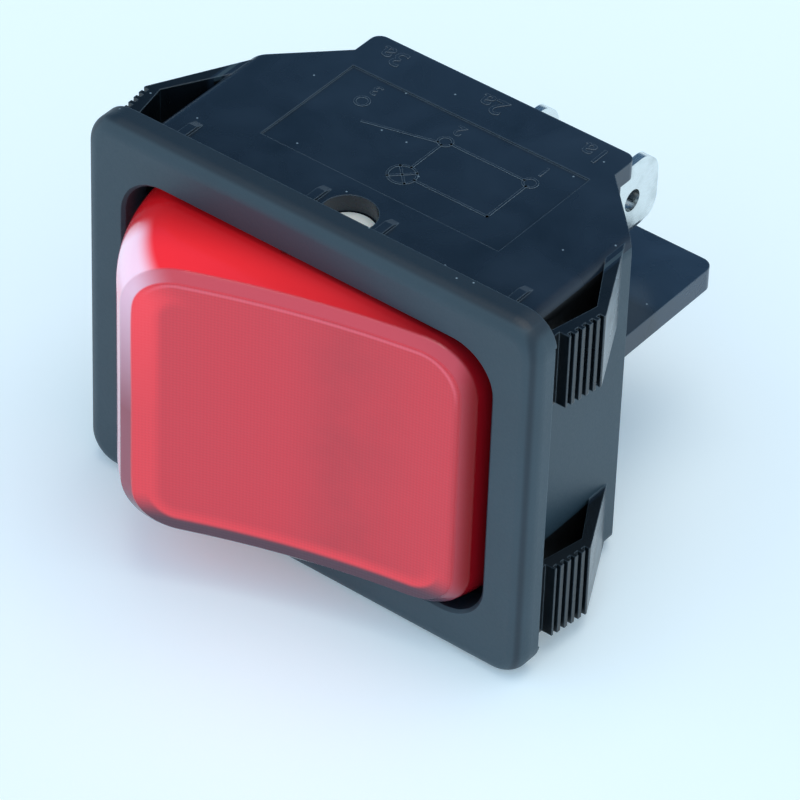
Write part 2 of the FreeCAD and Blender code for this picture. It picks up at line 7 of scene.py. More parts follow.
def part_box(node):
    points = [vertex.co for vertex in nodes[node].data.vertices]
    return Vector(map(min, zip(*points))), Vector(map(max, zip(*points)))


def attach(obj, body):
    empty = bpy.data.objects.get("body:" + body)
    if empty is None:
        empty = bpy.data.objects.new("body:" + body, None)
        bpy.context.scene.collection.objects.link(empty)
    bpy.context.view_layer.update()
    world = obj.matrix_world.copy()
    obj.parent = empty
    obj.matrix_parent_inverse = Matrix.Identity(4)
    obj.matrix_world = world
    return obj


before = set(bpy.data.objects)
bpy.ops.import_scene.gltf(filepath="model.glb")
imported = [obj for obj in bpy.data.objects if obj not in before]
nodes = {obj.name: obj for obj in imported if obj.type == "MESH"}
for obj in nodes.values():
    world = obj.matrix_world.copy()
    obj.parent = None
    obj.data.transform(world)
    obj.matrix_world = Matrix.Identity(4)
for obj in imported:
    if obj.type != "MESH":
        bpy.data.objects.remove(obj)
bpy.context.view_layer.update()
mm = 0.001
print("frame loaded:", len(nodes), "nodes")

# the camera: fitted to the photograph, in the frame of the part
camera = {
    "place": (149.024, -193.883, 201.082),      # mm
    "right": (0.78932, 0.61333, 0.02837),
    "up": (-0.40832, 0.48986, 0.77027),
    "lens": 251.38,                             # mm on a 36 mm sensor
    "sensor": 36.0,
    "clip": (0.01, 20.0),                       # m
}


def addCamera(c):
    data = bpy.data.cameras.new("photoCamera")
    data.lens = c["lens"]
    data.sensor_width = c["sensor"]
    data.clip_start, data.clip_end = c["clip"]
    obj = bpy.data.objects.new("photoCamera", data)
    bpy.context.scene.collection.objects.link(obj)
    right, up = Vector(c["right"]).normalized(), Vector(c["up"]).normalized()
    back = right.cross(up).normalized()
    up = back.cross(right)
    turn = Matrix((right, up, back)).transposed().to_4x4()
    obj.matrix_world = Matrix.Translation(Vector(c["place"]) * mm) @ turn
    bpy.context.scene.camera = obj


addCamera(camera)
bpy.context.scene.view_settings.view_transform = "Standard"   # plain sRGB, so a hex colour comes out as it is
print("camera placed")


def toLinear(hexColour):
    values = [int(hexColour[i:i + 2], 16) / 255 for i in (1, 3, 5)]
    return [v / 12.92 if v <= 0.04045 else ((v + 0.055) / 1.055) ** 2.4 for v in values] + [1.0]


def outputOf(source):
    # a source is a node and an output, or a node alone for its first output (a colour mix's third)
    if isinstance(source, tuple):
        return source[0].outputs[source[1]]
    mixesColour = source.bl_idname == "ShaderNodeMix" and source.data_type == "RGBA"
    return source.outputs[2 if mixesColour else 0]


def addNode(mat, kind, settings=None, links=None):
    # settings: attributes or input values; links: input -> source
    tree = mat.node_tree
    node = tree.nodes.new(kind)
    for key, value in (settings or {}).items():
        if isinstance(key, str) and hasattr(node, key) and key not in node.inputs:
            setattr(node, key, value)
        else:
            node.inputs[key].default_value = value
    for key, source in (links or {}).items():
        tree.links.new(outputOf(source), node.inputs[key])
    return node


def newMaterial(name):
    # an empty material, and its coordinates
    mat = bpy.data.materials.new(name)
    mat.use_nodes = True
    mat.node_tree.nodes.clear()
    return mat, addNode(mat, "ShaderNodeTexCoord")


def addSurface(mat, settings, links):
    # the shader and the output, the last two nodes of every material
    shader = addNode(mat, "ShaderNodeBsdfPrincipled", settings, links)
    addNode(mat, "ShaderNodeOutputMaterial", {}, {"Surface": shader})
    return mat


def compute(mat, operation, *values):
    # each value is a number or a source
    numbers = {i: v for i, v in enumerate(values) if isinstance(v, (int, float))}
    sources = {i: v for i, v in enumerate(values) if i not in numbers}
    return addNode(mat, "ShaderNodeMath", {"operation": operation, **numbers}, sources)


def product(mat, first, *others):
    # all of the sources multiplied
    for factor in others:
        first = compute(mat, "MULTIPLY", first, factor)
    return first


def ramp(mat, source, start, end=(0.0, 1.0), smooth=False, clamp=True):
    # carries the range start onto the range end
    settings = {"From Min": start[0], "From Max": start[1], "To Min": end[0], "To Max": end[1], "clamp": clamp,
                "interpolation_type": "SMOOTHSTEP" if smooth else "LINEAR"}
    return addNode(mat, "ShaderNodeMapRange", settings, {"Value": source})


def mixColour(mat, share, first, second, kind="MIX"):
    # the share is a number or a source, and each colour is a hex colour or a source
    settings, links = {"data_type": "RGBA", "blend_type": kind}, {}
    if isinstance(share, float):
        settings[0] = share
    else:
        links[0] = share
    for key, colour in ((6, first), (7, second)):
        if isinstance(colour, str):
            settings[key] = toLinear(colour)
        else:
            links[key] = colour
    return addNode(mat, "ShaderNodeMix", settings, links)


def linkObject(name, bm):
    mesh = bpy.data.meshes.new(name)
    bm.to_mesh(mesh)
    bm.free()
    obj = bpy.data.objects.new(name, mesh)
    bpy.context.scene.collection.objects.link(obj)
    return obj


# floor: a pale matt board on a light table, so that shadows stay weak. The switch lies on the bezel's
# lower edge and the body's rear lower edge
floorBoard = {
    "size": 3.0,                # m
    "tilt": 6.0,                # degrees, the lie of the switch on its side
    "low": (0.0, -0.95, -12.7),     # mm, the bezel's lower edge, where the floor touches it
    "colour": "#E8F6FC",
    "roughness": 0.7,
    "roughnessPlay": 0.05,
    "glow": 0.2,                # light that comes up through the board
    "mottle": 18.0,             # mm, width of the faint clouds in the board
}


def makeFloor(s):
    bm = bmesh.new()
    bmesh.ops.create_grid(bm, x_segments=1, y_segments=1, size=s["size"] / 2)
    bmesh.ops.rotate(bm, cent=(0, 0, 0), matrix=Matrix.Rotation(math.radians(s["tilt"]), 3, "X"), verts=bm.verts)
    bmesh.ops.translate(bm, vec=Vector(s["low"]) * mm, verts=bm.verts)
    obj = linkObject("floor", bm)
    mat, place = newMaterial("paleBoard")      # matt coated board: no gloss, almost no mottle
    cloud = addNode(mat, "ShaderNodeTexNoise", {"Scale": 1 / (s["mottle"] * mm), "Detail": 2.0},
                    {"Vector": (place, "Object")})
    rough = ramp(mat, (cloud, "Fac"), (0.0, 1.0),
                 (s["roughness"] - s["roughnessPlay"], s["roughness"] + s["roughnessPlay"]))
    tone = toLinear(s["colour"])
    addSurface(mat, {"Base Color": tone, "Emission Color": tone, "Emission Strength": s["glow"]},
               {"Roughness": rough})
    obj.data.materials.append(mat)


makeFloor(floorBoard)

# light: a soft lamp overhead in a pale, even room with one dim part, which the polished long side
# mirrors towards the camera, so that it stays dark
lightSet = {
    "key": {"place": (0.1, 0.15, 1.4), "size": 1.0, "power": 7.4, "colour": "#FFF0DE"},     # m, m, W
    "dimPart": (-0.47, 0.61, 0.63),     # direction to the middle of the dim part
    "edge": (0.45, 0.93),               # cosines at which it begins and is full
    "bright": "#D0E8FB",
    "dim": "#426688",
    "roomStrength": 1.02,
}


def addLight(name, s):
    data = bpy.data.lights.new(name, "AREA")
    data.size = s["size"]
    data.energy = s["power"]
    data.color = toLinear(s["colour"])[:3]
    obj = bpy.data.objects.new(name, data)
    bpy.context.scene.collection.objects.link(obj)
    obj.location = s["place"]
    obj.rotation_euler = (-Vector(s["place"])).to_track_quat("-Z", "Y").to_euler()


def addRoom(s):
    room = bpy.data.worlds.new("room")
    room.use_nodes = True
    room.node_tree.nodes.clear()
    place = addNode(room, "ShaderNodeTexCoord")
    near = addNode(room, "ShaderNodeVectorMath", {"operation": "DOT_PRODUCT", 1: s["dimPart"]},
                   {0: (place, "Generated")})
    share = ramp(room, (near, "Value"), s["edge"], smooth=True)
    blend = mixColour(room, share, s["bright"], s["dim"])
    light = addNode(room, "ShaderNodeBackground", {"Strength": s["roomStrength"]}, {"Color": blend})
    addNode(room, "ShaderNodeOutputWorld", {}, {"Surface": light})
    bpy.context.scene.world = room


addLight("keyLight", lightSet["key"])
addRoom(lightSet)
print("floor and lights placed")


def dress(names, mat):
    for name in names:
        obj = nodes[name]
        obj.data.materials.clear()
        obj.data.materials.append(mat)


# housing: black glass-filled nylon, one moulding. The mould is spark eroded for the bezel and the
# end walls, which gives a fine even matt, and polished for the long sides and the barrier, which are
# glossier and show soft flow clouds and dust; so are the snap arms
housingFinish = {
    "mattColour": "#2D414C",
    "glossColour": "#1C2A38",
    "barrierColour": "#26384A",
    "shadedColour": "#132835",  # on the bezel's roundings, at most
    "armColour": "#0B1319",
    # painted sheen on the arms' sliding slope, with scuff marks
    "sheenAndScuffColour": "#93A7B4",
    # painted shade of the hollow behind each arm
    "pocketShadeColour": "#020406",
    "edgeHighlightColour": "#6C8494",
    "edgeHighlightShare": 0.45,          # most share of the painted edge highlight,
    "edgeTurn": (0.99, 0.78),   # and the turns' cosines at which it begins and is full
    "dustColour": "#80939F",
    "mattRoughness": (0.4, 0.6),    # least and most, over the grain
    "glossRoughness": (0.2, 0.37),  # over the clouds
    "grain": 0.14,              # mm, spark-eroded grain, drawn a little coarse so that it shows
    "grainHeight": 0.02,        # mm
    "glossGrain": 0.1,          # share of it that the glossy faces have
    "cloud": 5.0,               # mm, width of the flow clouds
    "cloudSpan": (0.2, 0.8),    # values between which the clouds' noise mostly lies
    "flow": (0.35, 0.08),       # how far the clouds swing the shade on the glossy faces and on the matt ones
    "frontShade": 0.8,          # painted reflection: shade of the glossy faces at the seat,
    "rearShade": 1.14,          # and at the body's rear edge
    "bodyDepth": 15.0,          # mm from the seat to that edge
    "seatBlend": 0.1,           # mm on either side of the seat, over which matt turns to gloss
    "endWall": 13.75,           # mm from the middle to the end walls,
    "endWallPlay": 0.12,        # give or take
    "armStart": (13.95, 14.1),  # mm from the middle, where the arms stand out of them
    "armSlope": (0.4, 0.12),    # how far the arms' sliding slope faces the rear, and the play of that
    "sheenAndScuffShare": (0.1, 0.36),         # least and most share of the painted sheen with its scuff marks
    "scuff": (1.0, 0.3, 2.5),   # scuff marks in that sheen, to the mm
    "barrier": (16.4, 17.2),    # mm behind the seat, where the barrier stands out of the body
    "pocketHeight": (8.4, 2.2), # mm, middle and half height of the painted shade of the hollow behind each arm,
    "pocketDepth": (4.1, 3.5),  # and its middle and half depth
    "endTurn": (0.35, 0.6),     # how far the bezel's rounding looks sideways where its shade begins,
    "endClear": (0.85, 0.65),   # and where it has ended again
    "upperTurn": (0.72, 0.9),   # how far it looks up where its shade begins and is full
    "dustSpacing": 1.9,         # mm between possible specks
    "dustSize": 0.075,          # mm, radius of a speck
    "dustChance": 0.7,          # a place holds a speck when its own random value is above this
    "dustLevel": 0.9,           # specks lie only where a face looks up by more than this
    "edgeRound": 0.1,           # mm, radius of the moulding's edges
}


def makeNylon(s):
    mat, place = newMaterial("mouldedNylon")
    axes = addNode(mat, "ShaderNodeSeparateXYZ", {}, {0: (place, "Object")})
    # matt on the bezel and the end walls
    onBezel = ramp(mat, (axes, "Y"), (s["seatBlend"] * mm, -s["seatBlend"] * mm))
    along = compute(mat, "ABSOLUTE", (axes, "X"))
    onEnd = compute(mat, "COMPARE", along, s["endWall"] * mm, s["endWallPlay"] * mm)
    onMatt = compute(mat, "MAXIMUM", onBezel, onEnd)
    grain = addNode(mat, "ShaderNodeTexNoise", {"Scale": 1 / (s["grain"] * mm), "Detail": 2.0, "Roughness": 0.6},
                    {"Vector": (place, "Object")})
    cloud = addNode(mat, "ShaderNodeTexNoise", {"Scale": 1 / (s["cloud"] * mm), "Detail": 3.0, "Distortion": 0.6},
                    {"Vector": (place, "Object")})
    # specks: one possible place per cell, and only in some of them
    cells = addNode(mat, "ShaderNodeTexVoronoi", {"voronoi_dimensions": "2D", "Scale": 1 / (s["dustSpacing"] * mm)},
                    {"Vector": (place, "Object")})
    size = s["dustSize"] / s["dustSpacing"]
    speck = ramp(mat, (cells, "Distance"), (size, size * 0.5))
    chosen = compute(mat, "GREATER_THAN", (cells, "Color"), s["dustChance"])
    facing = addNode(mat, "ShaderNodeSeparateXYZ", {}, {0: (place, "Normal")})
    level = compute(mat, "GREATER_THAN", (facing, "Z"), s["dustLevel"])
    dust = product(mat, speck, chosen, level)
    # arms: darker where the mould is smooth; a painted sheen with scuff marks on the slope that slides past the
    # panel
    onArm = ramp(mat, along, [x * mm for x in s["armStart"]])
    offBezel = compute(mat, "SUBTRACT", 1.0, onBezel)
    arm = product(mat, onArm, offBezel)
    slope = compute(mat, "COMPARE", (facing, "Y"), *s["armSlope"])
    streaks = addNode(mat, "ShaderNodeMapping", {"Scale": [x / mm for x in s["scuff"]]},
                      {"Vector": (place, "Object")})
    scuff = addNode(mat, "ShaderNodeTexNoise", {"Scale": 1.0, "Detail": 2.0}, {"Vector": streaks})
    scuffed = ramp(mat, (scuff, "Fac"), (0.3, 0.7), s["sheenAndScuffShare"])
    sheenAndScuff = product(mat, slope, arm, scuffed)
    # painted shade for the hollow behind each arm, where the end wall is cored out
    height = compute(mat, "ABSOLUTE", (axes, "Z"))
    offHeight = compute(mat, "COMPARE", height, *[v * mm for v in s["pocketHeight"]])
    offDepth = compute(mat, "COMPARE", (axes, "Y"), *[v * mm for v in s["pocketDepth"]])
    pocketShade = product(mat, offHeight, offDepth, onEnd)
    # the bezel: painted shade on its upper side and half way round its end edges
    aside = compute(mat, "ABSOLUTE", (facing, "X"))
    begun = ramp(mat, aside, s["endTurn"], smooth=True)
    notEnded = ramp(mat, aside, s["endClear"], smooth=True)
    turned = product(mat, begun, notEnded)
    upper = ramp(mat, (facing, "Z"), s["upperTurn"], smooth=True)
    deeper = compute(mat, "MAXIMUM", turned, upper)
    dark = product(mat, deeper, onBezel)
    # edges: a painted highlight, by how far the rounded normal turns from the true one
    rounded = addNode(mat, "ShaderNodeBevel", {"samples": 4, "Radius": s["edgeRound"] * mm})
    flat = addNode(mat, "ShaderNodeNewGeometry")
    turn = addNode(mat, "ShaderNodeVectorMath", {"operation": "DOT_PRODUCT"}, {0: rounded, 1: (flat, "Normal")})
    edge = ramp(mat, (turn, "Value"), s["edgeTurn"], (0.0, s["edgeHighlightShare"]))
    # colour
    behind = ramp(mat, (axes, "Y"), [y * mm for y in s["barrier"]])
    glossy = mixColour(mat, behind, s["glossColour"], s["barrierColour"])
    smooth = mixColour(mat, arm, glossy, s["armColour"])
    # the painted sheen and scuff marks on the arms' slope
    sheenedArm = mixColour(mat, sheenAndScuff, smooth, s["sheenAndScuffColour"])
    # the matt faces, with the painted shade on the bezel's roundings
    coarse = mixColour(mat, dark, s["mattColour"], s["shadedColour"])
    solid = mixColour(mat, onMatt, sheenedArm, coarse)
    # the painted shade of the hollow behind each arm
    plain = mixColour(mat, pocketShade, solid, s["pocketShadeColour"])
    spread = ramp(mat, onMatt, (0.0, 1.0), s["flow"])
    swing = ramp(mat, (cloud, "Fac"), s["cloudSpan"], (-1.0, 1.0), clamp=False)
    # painted reflection: the glossy faces lighter towards the rear
    rearReflection = ramp(mat, (axes, "Y"), (0.0, s["bodyDepth"] * mm), (s["frontShade"], s["rearShade"]))
    middle = addNode(mat, "ShaderNodeMix", {3: 1.0}, {0: onMatt, 2: rearReflection})
    shade = compute(mat, "MULTIPLY_ADD", swing, spread, middle)
    mottledAndReflected = mixColour(mat, 1.0, plain, shade, "MULTIPLY")
    # the painted highlight on the edges
    edgeLit = mixColour(mat, edge, mottledAndReflected, s["edgeHighlightColour"])
    colour = mixColour(mat, dust, edgeLit, s["dustColour"])
    # roughness
    matt = ramp(mat, (grain, "Fac"), (0.0, 1.0), s["mattRoughness"])
    sleek = ramp(mat, (cloud, "Fac"), s["cloudSpan"], s["glossRoughness"], clamp=False)
    rough = addNode(mat, "ShaderNodeMix", {}, {0: onMatt, 2: sleek, 3: matt})
    # relief: the grain, deepest on the matt faces
    depth = ramp(mat, onMatt, (0.0, 1.0), (s["glossGrain"], 1.0))
    relief = product(mat, (grain, "Fac"), depth)
    bump = addNode(mat, "ShaderNodeBump", {"Strength": 0.5, "Distance": s["grainHeight"] * mm},
                   {"Height": relief, "Normal": rounded})
    return addSurface(mat, {"IOR": 1.53}, {"Base Color": colour, "Roughness": rough, "Normal": bump})


dress(["housing"], makeNylon(housingFinish))
print("housing dressed")

# rocker lens: clear red polycarbonate. Its sides are polished; the dished top is finely lined, which
# scatters light and greys the red. Painted shade darkens the edges, the part with nothing white behind
# them and the pressed end; painted highlights and reflections lighten the left corner, the left rim and
# a band and a line inside the top's edge; and a painted glow stands for the light that the clear wall
# carries to the raised end. Places are in mm on the rocker itself: along it from its middle, across it,
# and up from its pivot
lensFinish = {
    "pivotDepth": 2.05,         # mm, where the rocker turns
    "tilt": 16.0,               # degrees, how far it is pressed at rest
    "dishHeight": 6.95,         # mm from the pivot to the middle of the top
    "dishRadius": 63.3,         # mm, of the top's hollow curve
    "half": (10.3, 9.5),        # mm, half length and half width of the top
    "corner": 3.2,              # mm, radius of the top's corners
    "rim": 0.6,                 # mm, height of the sloped edge,
    "rimBlend": (0.16, -0.04),  # and where it begins and is full, past that
    "edgeRound": 0.2,           # mm, radius of the edges
    "sideColour": "#FA2C34",
    "endShadeColour": "#900E18",     # painted shade on the sides towards the pressed end
    "endShade": (0.0, 11.0),    # along, where that begins and is full; so are all pairs below
    # painted shade on the side near the bezel, where no white carrier lies behind the wall
    "unbackedShadeColour": "#C8161E",
    "backing": (5.6, 1.4),      # up, over which the white carrier behind the wall comes to its end; below it the side is painted in shade
    "paleReflectionColour": "#FFD0E4",    # painted reflection on the upper left corner, where the clear wall is seen along its length
    "paleEnd": (10.8, 11.9),    # straight from the pivot
    "paleBase": (2.4, 4.2),     # up
    "paleSide": 0.45,           # share of the pale colour on the left end below that corner
    "upperSide": (6.3, 7.8),    # across
    "topColour": "#E8303F",
    "topBlend": (0.1, 0.03),    # under the dished face
    "patchColour": "#CC2C3A",   # the darker, cloudy patch on the top
    "patchStart": (-1.2, 2.4),  # along
    "patchEnd": (8.5, 2.5),
    "patchClouds": 0.35,        # to the mm
    "bandHighlightColour": "#FF3A46",    # a painted highlight: a bright band inside the left and lower edge of the top
    "band": (2.4, 1.5),         # in from the outline
    "lowerLeft": (-0.09, -0.1, 0.0),    # along, across and up, the way to the lower left
    "nearSide": (-0.25, 0.1),   # how far that way, for the band and the lower and left rim
    "rimShadeAndReflectionColour": "#553040",     # painted shade on the lower rim, with the floor's bluish reflection in it
    "lowerSide": (-6.5, -8.5),  # across
    "lowerRim": (1.5, 1.2),     # in from the outline
    "leftRimShadeAndReflectionColour": "#A04757", # painted shade and reflection on the left rim, paler upwards
    "upwards": (-1.0, 7.5),     # across
    "leftRimPale": 0.75,        # most share of the pale colour there
    "creaseColour": "#DA4553",  # the rim on the other two sides
    "pressedEndShadeColour": "#8C030C",  # painted shade on the pressed end of the top and of the rim
    "rightEnd": (9.2, 10.7),    # along
    "lineHighlightColour": "#FF6474",    # a painted highlight line inside the upper rim
    "farSide": (5.5, 8.0),      # across
    "linePast": 0.14,           # how much farther in than the rim's height it lies
    "lineBlend": (-0.02, 0.12), # likewise
    "lineShare": 0.75,          # of its colour, at most
    "lineInset": 1.2,           # in from the outline, at most
    "glow": 0.24,               # strength of the light that the wall carries to the raised end
    "glowLength": (2.0, -8.0),  # along
    "glowHeight": (-1.5, 5.5),  # up
    "dustColour": "#F5D5DA",
    "dustSpacing": 3.2,         # mm between possible specks
    "dustSize": (0.022, 0.012), # from a speck's middle, as a share of the spacing
    "dustChance": 0.6,          # as for the housing
    "sideRoughness": 0.09,
    "topRoughness": 0.4,
    "specular": (0.5, 0.15),    # level of the mirrored light, least at the pressed end, which the bezel hides
    "linePitch": 0.2,           # mm between the fine lines
    "lineHeight": 0.02,         # mm
    "lineShade": (0.95, 1.04),  # their shade, darkest and lightest
}


def makeLensRed(s):
    mat, place = newMaterial("redPolycarbonate")
    # coordinates of the rocker itself in mm: x along it, y across it, z out of its top
    c, n = math.cos(math.radians(s["tilt"])), math.sin(math.radians(s["tilt"]))
    turn = Matrix(((c, n, 0), (0, 0, 1), (n, -c, 0))).to_euler("XYZ")
    shift = (-s["pivotDepth"] * n, 0, s["pivotDepth"] * c)
    own = addNode(mat, "ShaderNodeMapping", {"Scale": (1 / mm,) * 3, "Rotation": turn, "Location": shift},
                  {"Vector": (place, "Object")})
    axes = addNode(mat, "ShaderNodeSeparateXYZ", {}, {0: own})
    # depth under the dished top
    square = compute(mat, "POWER", (axes, "X"), 2.0)
    rise = compute(mat, "MULTIPLY_ADD", square, 0.5 / s["dishRadius"], s["dishHeight"])
    under = compute(mat, "SUBTRACT", rise, (axes, "Z"))
    # distance from the top's outline, rounded at the corners, positive inside
    flat = addNode(mat, "ShaderNodeCombineXYZ", {}, {0: (axes, "X"), 1: (axes, "Y")})
    size = addNode(mat, "ShaderNodeVectorMath", {"operation": "ABSOLUTE"}, {0: flat})
    core = [h - s["corner"] for h in s["half"]]
    past = addNode(mat, "ShaderNodeVectorMath", {"operation": "SUBTRACT", 1: (core[0], core[1], 0)}, {0: size})
    outside = addNode(mat, "ShaderNodeVectorMath", {"operation": "MAXIMUM"}, {0: past})
    away = addNode(mat, "ShaderNodeVectorMath", {"operation": "LENGTH"}, {0: outside})
    parts = addNode(mat, "ShaderNodeSeparateXYZ", {}, {0: past})
    most = compute(mat, "MAXIMUM", (parts, "X"), (parts, "Y"))
    within = compute(mat, "MINIMUM", most, 0.0)
    reach = compute(mat, "ADD", (away, "Value"), within)
    inset = compute(mat, "SUBTRACT", s["corner"], reach)
    # masks
    onTop = ramp(mat, under, s["topBlend"])
    onRim = ramp(mat, under, [s["rim"] + v for v in s["rimBlend"]])
    # the painted highlight line lies where the inset, folded back past it, is greatest
    fromLine = compute(mat, "PINGPONG", inset, s["rim"] + s["linePast"])
    nearLine = ramp(mat, fromLine, [s["rim"] + v for v in s["lineBlend"]], (0.0, s["lineShare"]))
    slant = addNode(mat, "ShaderNodeVectorMath", {"operation": "DOT_PRODUCT", 1: s["lowerLeft"]}, {0: flat})
    nearSide = ramp(mat, (slant, "Value"), s["nearSide"], smooth=True)
    farSide = ramp(mat, (axes, "Y"), s["farSide"], smooth=True)
    nearCrease = compute(mat, "LESS_THAN", inset, s["lineInset"])
    onLine = product(mat, nearLine, farSide, nearCrease)
    # the painted highlight band inside the left and lower edge
    inBand = ramp(mat, inset, s["band"], smooth=True)
    band = product(mat, inBand, nearSide)
    # painted shade along the lower rim of the top
    atRim = ramp(mat, inset, s["lowerRim"], smooth=True)
    lowerSide = ramp(mat, (axes, "Y"), s["lowerSide"], smooth=True)
    darkRim = product(mat, atRim, lowerSide)
    # the pressed end, which takes painted shade
    rightEnd = ramp(mat, (axes, "X"), s["rightEnd"], smooth=True)
    lengthwise = addNode(mat, "ShaderNodeCombineXYZ", {}, {0: (axes, "X"), 2: (axes, "Z")})
    fromPivot = addNode(mat, "ShaderNodeVectorMath", {"operation": "LENGTH"}, {0: lengthwise})
    # the painted reflection on the upper left corner
    atEnd = ramp(mat, (fromPivot, "Value"), s["paleEnd"], smooth=True)
    onLeft = compute(mat, "LESS_THAN", (axes, "X"), 0.0)
    aboveBase = ramp(mat, (axes, "Z"), s["paleBase"], smooth=True)
    upperSide = ramp(mat, (axes, "Y"), s["upperSide"], smooth=True)
    paleShare = ramp(mat, upperSide, (0.0, 1.0), (s["paleSide"], 1.0))
    cornerReflection = product(mat, atEnd, onLeft, aboveBase, paleShare)
    low = ramp(mat, (axes, "Z"), s["backing"], smooth=True)
    far = ramp(mat, (axes, "X"), s["endShade"], smooth=True)
    patchStart = ramp(mat, (axes, "X"), s["patchStart"], smooth=True)
    patchEnd = ramp(mat, (axes, "X"), s["patchEnd"], smooth=True)
    cloud = addNode(mat, "ShaderNodeTexNoise", {"Scale": s["patchClouds"], "Detail": 2.0}, {"Vector": own})
    patchy = product(mat, patchStart, patchEnd, (cloud, "Fac"))
    # fine lines both ways
    density = math.tau / (20 * s["linePitch"])      # the wave's own factor of 20 a unit
    along = addNode(mat, "ShaderNodeTexWave", {"bands_direction": "X", "Scale": density}, {"Vector": own})
    across = addNode(mat, "ShaderNodeTexWave", {"bands_direction": "Y", "Scale": density}, {"Vector": own})
    lines = compute(mat, "ADD", (along, "Fac"), (across, "Fac"))
    # colour of the sides, then of the rim, then of the top
    # painted shade towards the pressed end
    lit = mixColour(mat, far, s["sideColour"], s["endShadeColour"])
    # painted shade near the bezel
    backed = mixColour(mat, low, lit, s["unbackedShadeColour"])
    side = mixColour(mat, cornerReflection, backed, s["paleReflectionColour"])
    crease = mixColour(mat, rightEnd, s["creaseColour"], s["pressedEndShadeColour"])
    upwards = ramp(mat, (axes, "Y"), s["upwards"], (0.0, s["leftRimPale"]))
    # the left rim's painted shade, with painted reflection upwards
    leftRim = mixColour(mat, upwards, s["leftRimShadeAndReflectionColour"], s["paleReflectionColour"])
    nearRim = mixColour(mat, lowerSide, leftRim, s["rimShadeAndReflectionColour"])
    rim = mixColour(mat, nearSide, crease, nearRim)
    edged = mixColour(mat, onRim, side, rim)
    middle = mixColour(mat, patchy, s["topColour"], s["patchColour"])
    ended = mixColour(mat, rightEnd, middle, s["pressedEndShadeColour"])
    creased = mixColour(mat, onLine, ended, s["lineHighlightColour"])
    banded = mixColour(mat, band, creased, s["bandHighlightColour"])
    rimmed = mixColour(mat, darkRim, banded, s["rimShadeAndReflectionColour"])
    lineShade = ramp(mat, lines, (0.0, 2.0), s["lineShade"])
    lined = mixColour(mat, 1.0, rimmed, lineShade, "MULTIPLY")
    whole = mixColour(mat, onTop, edged, lined)
    cells = addNode(mat, "ShaderNodeTexVoronoi", {"Scale": 1 / s["dustSpacing"]}, {"Vector": own})
    speck = ramp(mat, (cells, "Distance"), s["dustSize"])
    chosen = compute(mat, "GREATER_THAN", (cells, "Color"), s["dustChance"])
    dust = product(mat, speck, chosen)
    colour = mixColour(mat, dust, whole, s["dustColour"])
    # the painted glow: on the upper side and in the bright band, towards the raised end and the rim
    raised = ramp(mat, (axes, "X"), s["glowLength"], smooth=True)
    high = ramp(mat, (axes, "Z"), s["glowHeight"], smooth=True)
    offRim = compute(mat, "SUBTRACT", 1.0, onRim)
    throughWall = product(mat, upperSide, raised, offRim, high)
    inTop = product(mat, band, raised, upwards)
    carried = compute(mat, "MAXIMUM", throughWall, inTop)
    glow = mixColour(mat, carried, "#000000", whole)
    # surface
    rough = ramp(mat, onTop, (0.0, 1.0), (s["sideRoughness"], s["topRoughness"]))
    rounded = addNode(mat, "ShaderNodeBevel", {"samples": 4, "Radius": s["edgeRound"] * mm})
    relief = product(mat, lines, onTop)
    bump = addNode(mat, "ShaderNodeBump", {"Strength": 0.25, "Distance": s["lineHeight"] * mm},
                   {"Height": relief, "Normal": rounded})
    mirrored = ramp(mat, rightEnd, (0.0, 1.0), s["specular"])
    return addSurface(mat, {"IOR": 1.585, "Emission Strength": s["glow"]},
                      {"Base Color": colour, "Emission Color": glow, "Specular IOR Level": mirrored,
                       "Roughness": rough, "Normal": bump})


dress(["rocker_lens"], makeLensRed(lensFinish))
print("lens dressed")

# carrier: white nylon, smooth from the mould; soft gloss and a little light carried inside
carrierFinish = {
    "colour": "#F3F5F1",
    "shade": "#E2E6E2",
    "roughness": (0.3, 0.46),
    "cloud": 1.5,               # mm
    "carried": 0.1,             # share of the light that is carried inside,
    "reach": 0.4,               # and how many mm far
}


def makeWhiteNylon(s):
    mat, place = newMaterial("whiteNylon")
    cloud = addNode(mat, "ShaderNodeTexNoise", {"Scale": 1 / (s["cloud"] * mm), "Detail": 3.0},
                    {"Vector": (place, "Object")})
    colour = mixColour(mat, (cloud, "Fac"), s["colour"], s["shade"])
    rough = ramp(mat, (cloud, "Fac"), (0.0, 1.0), s["roughness"])
    return addSurface(mat, {"IOR": 1.53, "Subsurface Weight": s["carried"], "Subsurface Scale": s["reach"] * mm},
                      {"Base Color": colour, "Roughness": rough})


dress(["rocker_carrier"], makeWhiteNylon(carrierFinish))

